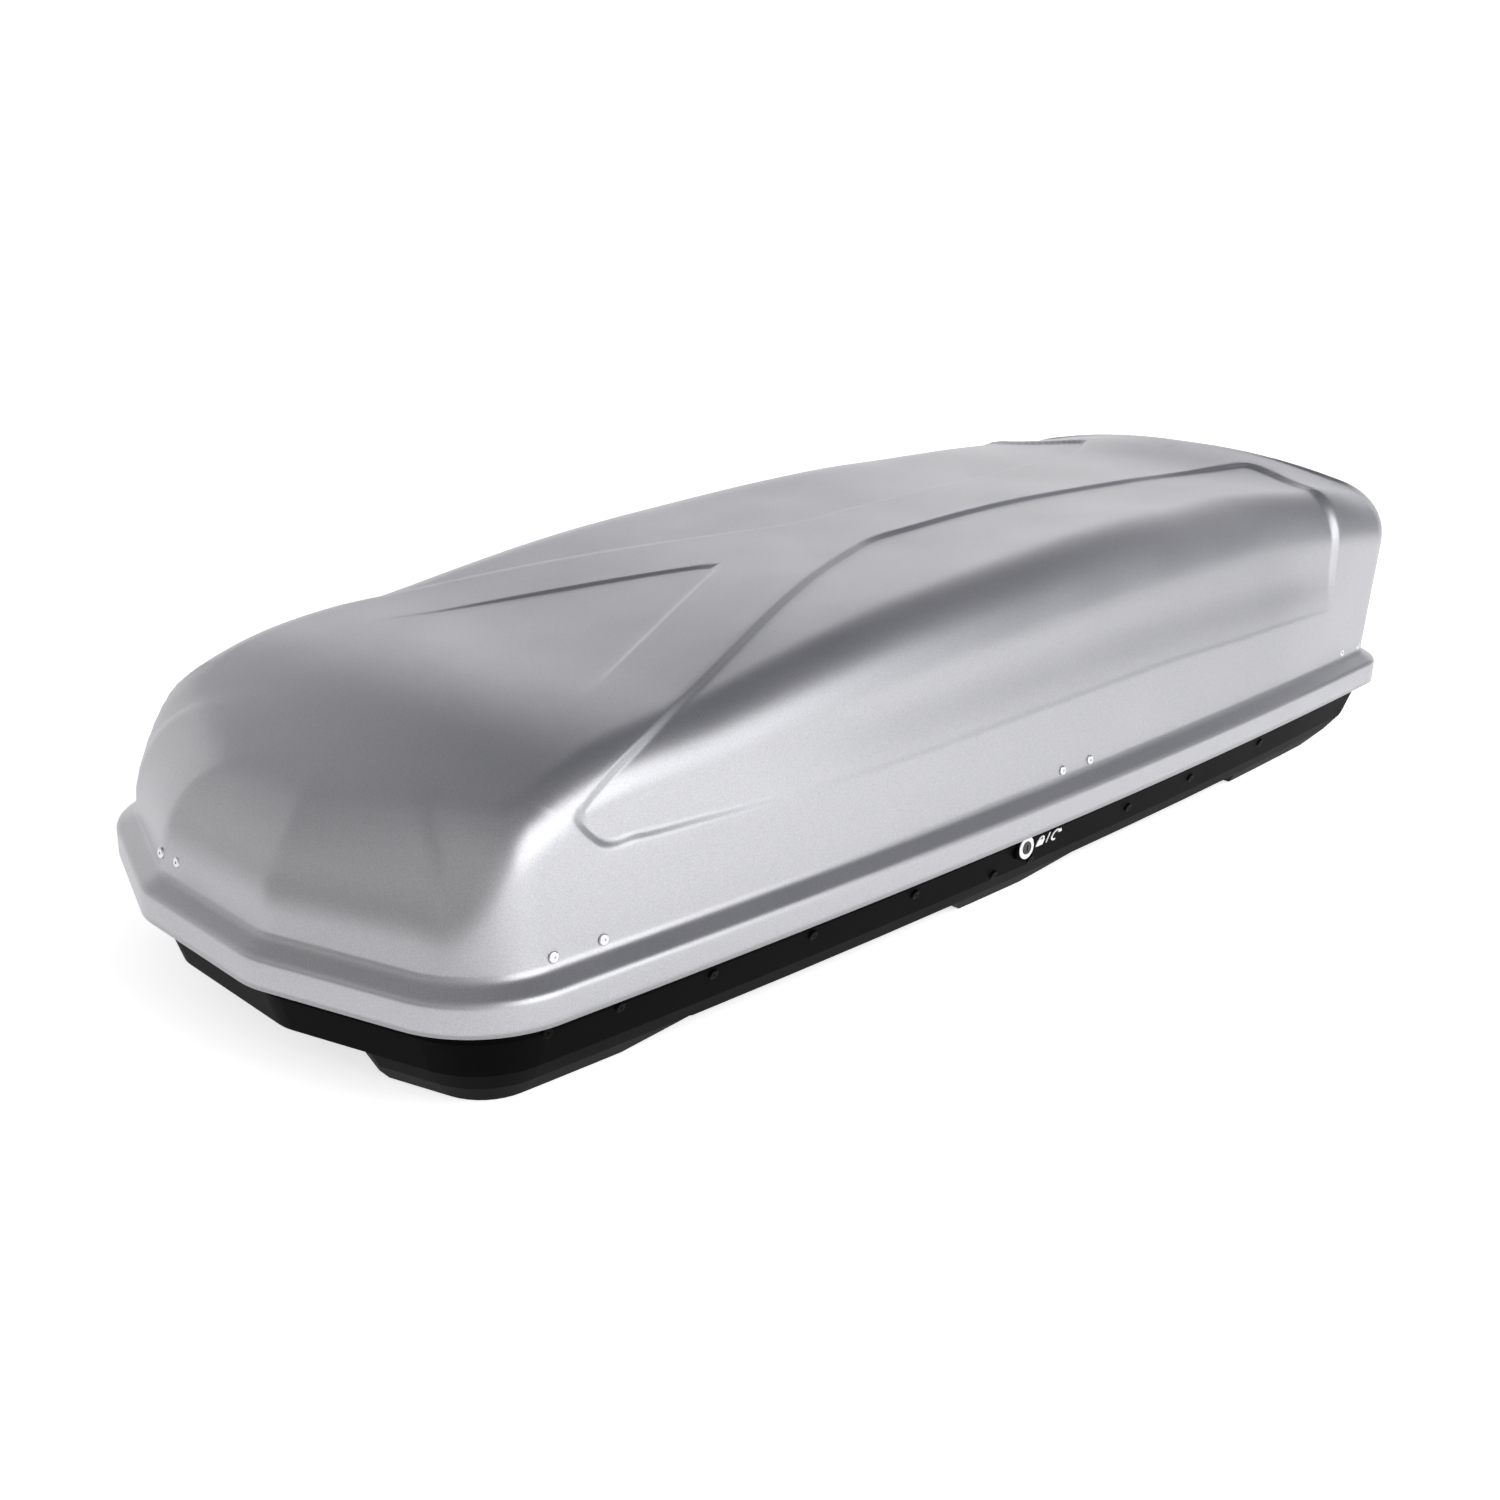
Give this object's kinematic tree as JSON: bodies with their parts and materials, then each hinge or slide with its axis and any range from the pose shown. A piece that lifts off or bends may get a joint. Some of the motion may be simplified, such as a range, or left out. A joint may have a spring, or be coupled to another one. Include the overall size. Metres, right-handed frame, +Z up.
{
  "type": "roof cargo box",
  "caption": "Hard-shell car roof cargo box: grey lid that opens sideways on gas struts over a black base with a sliding lock rail and roof bar clamps.",
  "frame": {"origin": "on the ground under the middle of the box", "axes": "+X towards the nose, +Y towards the side with the lock, +Z up"},
  "size_m": [1.85, 0.7798, 0.4278],
  "materials": {
    "lid_plastic": "silver grey grained ABS sheet",
    "base_plastic": "black satin ABS sheet",
    "silver_rivet": "bare aluminium pop rivets",
    "black_rivet": "black coated pop rivets",
    "zinc_steel": "zinc plated pressed steel",
    "strut_black": "black painted tube",
    "strut_chrome": "polished piston rod",
    "black_moulding": "black moulded plastic",
    "lock_metal": "black lock cylinder",
    "white_ring": "white ring round the lock",
    "knob_plastic": "dark red knob"
  },
  "bodies": {
    "base": {"base_shell": "base_plastic", "base_rivets": "black_rivet", "lock_sleeve": "lock_metal", "lock_bezel": "white_ring", "hinge_base_leaf_front": "zinc_steel", "hinge_base_leaf_mid": "zinc_steel", "hinge_base_leaf_rear": "zinc_steel", "hinge_pin_front": "zinc_steel", "hinge_pin_mid": "zinc_steel", "hinge_pin_rear": "zinc_steel", "strut_base_bracket_front": "zinc_steel", "strut_base_bracket_rear": "zinc_steel", "rail_guide_1": "black_moulding", "rail_guide_2": "black_moulding", "rail_guide_3": "black_moulding", "rail_guide_4": "black_moulding", "clamp_housing_1": "black_moulding", "clamp_housing_2": "black_moulding", "clamp_housing_3": "black_moulding", "clamp_housing_4": "black_moulding"},
    "lid": {"lid_shell": "lid_plastic", "lid_rivets": "silver_rivet", "hinge_lid_strap_front": "zinc_steel", "hinge_lid_strap_mid": "zinc_steel", "hinge_lid_strap_rear": "zinc_steel", "striker_front": "zinc_steel", "striker_mid": "zinc_steel", "striker_rear": "zinc_steel", "strut_lid_bracket_front": "zinc_steel", "strut_lid_bracket_rear": "zinc_steel"},
    "rail": {"lock_rail": "zinc_steel", "lock_drive_plate": "zinc_steel", "lock_hook_front": "zinc_steel", "lock_hook_mid": "zinc_steel", "lock_hook_rear": "zinc_steel"},
    "lock": {"lock_barrel": "lock_metal", "lock_crank": "zinc_steel"},
    "tube_front": {"strut_tube_front": "strut_black"},
    "rod_front": {"strut_rod_front": "strut_chrome"},
    "tube_rear": {"strut_tube_rear": "strut_black"},
    "rod_rear": {"strut_rod_rear": "strut_chrome"},
    "knob_1": {"clamp_knob_1": "knob_plastic"},
    "claw_fore_body_1": {"claw_fore_1": "zinc_steel"},
    "claw_aft_body_1": {"claw_aft_1": "zinc_steel"},
    "knob_2": {"clamp_knob_2": "knob_plastic"},
    "claw_fore_body_2": {"claw_fore_2": "zinc_steel"},
    "claw_aft_body_2": {"claw_aft_2": "zinc_steel"},
    "knob_3": {"clamp_knob_3": "knob_plastic"},
    "claw_fore_body_3": {"claw_fore_3": "zinc_steel"},
    "claw_aft_body_3": {"claw_aft_3": "zinc_steel"},
    "knob_4": {"clamp_knob_4": "knob_plastic"},
    "claw_fore_body_4": {"claw_fore_4": "zinc_steel"},
    "claw_aft_body_4": {"claw_aft_4": "zinc_steel"}
  },
  "joints": [
    {"name": "lid_hinge", "type": "hinge", "parent": "base", "child": "lid", "pos_m": [0, -0.357, 0.112], "axis": [1, 0, 0], "range_deg": [0, 48]},
    {"name": "strut_swing_front", "type": "hinge", "parent": "base", "child": "tube_front", "pos_m": [0.775, -0.302, 0.069], "axis": [1, 0, 0], "range_deg": [0, 48.6]},
    {"name": "strut_slide_front", "type": "slide", "parent": "tube_front", "child": "rod_front", "axis": [0, 0.9035, 0.4286], "range_m": [0, 0.05694]},
    {"name": "strut_swing_rear", "type": "hinge", "parent": "base", "child": "tube_rear", "pos_m": [-0.755, -0.302, 0.069], "axis": [1, 0, 0], "range_deg": [0, 48.6]},
    {"name": "strut_slide_rear", "type": "slide", "parent": "tube_rear", "child": "rod_rear", "axis": [0, 0.9035, 0.4286], "range_m": [0, 0.05694]},
    {"name": "lock_rail_slide", "type": "slide", "parent": "base", "child": "rail", "axis": [-1, 0, 0], "range_m": [0, 0.028]},
    {"name": "lock_turn", "type": "hinge", "parent": "base", "child": "lock", "pos_m": [0.033, 0.35, 0.077], "axis": [0, -1, 0], "range_deg": [0, 90.1]},
    {"name": "knob_turn_1", "type": "hinge", "parent": "base", "child": "knob_1", "pos_m": [0.345, 0.23, 0.06], "axis": [0, 0, 1], "range_deg": [0, 540]},
    {"name": "claw_fore_turn_1", "type": "hinge", "parent": "base", "child": "claw_fore_body_1", "pos_m": [0.379, 0.23, 0.034], "axis": [0, 1, 0], "range_deg": [0, 65.1]},
    {"name": "claw_aft_turn_1", "type": "hinge", "parent": "base", "child": "claw_aft_body_1", "pos_m": [0.311, 0.23, 0.034], "axis": [0, -1, 0], "range_deg": [0, 65.1]},
    {"name": "knob_turn_2", "type": "hinge", "parent": "base", "child": "knob_2", "pos_m": [0.345, -0.23, 0.06], "axis": [0, 0, 1], "range_deg": [0, 540]},
    {"name": "claw_fore_turn_2", "type": "hinge", "parent": "base", "child": "claw_fore_body_2", "pos_m": [0.379, -0.23, 0.034], "axis": [0, 1, 0], "range_deg": [0, 65.1]},
    {"name": "claw_aft_turn_2", "type": "hinge", "parent": "base", "child": "claw_aft_body_2", "pos_m": [0.311, -0.23, 0.034], "axis": [0, -1, 0], "range_deg": [0, 65.1]},
    {"name": "knob_turn_3", "type": "hinge", "parent": "base", "child": "knob_3", "pos_m": [-0.315, 0.23, 0.06], "axis": [0, 0, 1], "range_deg": [0, 540]},
    {"name": "claw_fore_turn_3", "type": "hinge", "parent": "base", "child": "claw_fore_body_3", "pos_m": [-0.281, 0.23, 0.034], "axis": [0, 1, 0], "range_deg": [0, 65.1]},
    {"name": "claw_aft_turn_3", "type": "hinge", "parent": "base", "child": "claw_aft_body_3", "pos_m": [-0.349, 0.23, 0.034], "axis": [0, -1, 0], "range_deg": [0, 65.1]},
    {"name": "knob_turn_4", "type": "hinge", "parent": "base", "child": "knob_4", "pos_m": [-0.315, -0.23, 0.06], "axis": [0, 0, 1], "range_deg": [0, 540]},
    {"name": "claw_fore_turn_4", "type": "hinge", "parent": "base", "child": "claw_fore_body_4", "pos_m": [-0.281, -0.23, 0.034], "axis": [0, 1, 0], "range_deg": [0, 65.1]},
    {"name": "claw_aft_turn_4", "type": "hinge", "parent": "base", "child": "claw_aft_body_4", "pos_m": [-0.349, -0.23, 0.034], "axis": [0, -1, 0], "range_deg": [0, 65.1]}
  ],
  "couplings": [
    {"joint": "strut_swing_front", "follows": "lid_hinge", "ratio": 1.0104},
    {"joint": "strut_slide_front", "follows": "lid_hinge", "m_per_rad": 0.067734},
    {"joint": "strut_swing_rear", "follows": "lid_hinge", "ratio": 1.0104},
    {"joint": "strut_slide_rear", "follows": "lid_hinge", "m_per_rad": 0.067734},
    {"joint": "lock_turn", "follows": "lock_rail_slide", "rad_per_m": 56.1},
    {"joint": "claw_fore_turn_1", "follows": "knob_turn_1", "ratio": 0.12037},
    {"joint": "claw_aft_turn_1", "follows": "knob_turn_1", "ratio": 0.12037},
    {"joint": "claw_fore_turn_2", "follows": "knob_turn_2", "ratio": 0.12037},
    {"joint": "claw_aft_turn_2", "follows": "knob_turn_2", "ratio": 0.12037},
    {"joint": "claw_fore_turn_3", "follows": "knob_turn_3", "ratio": 0.12037},
    {"joint": "claw_aft_turn_3", "follows": "knob_turn_3", "ratio": 0.12037},
    {"joint": "claw_fore_turn_4", "follows": "knob_turn_4", "ratio": 0.12037},
    {"joint": "claw_aft_turn_4", "follows": "knob_turn_4", "ratio": 0.12037}
  ]
}
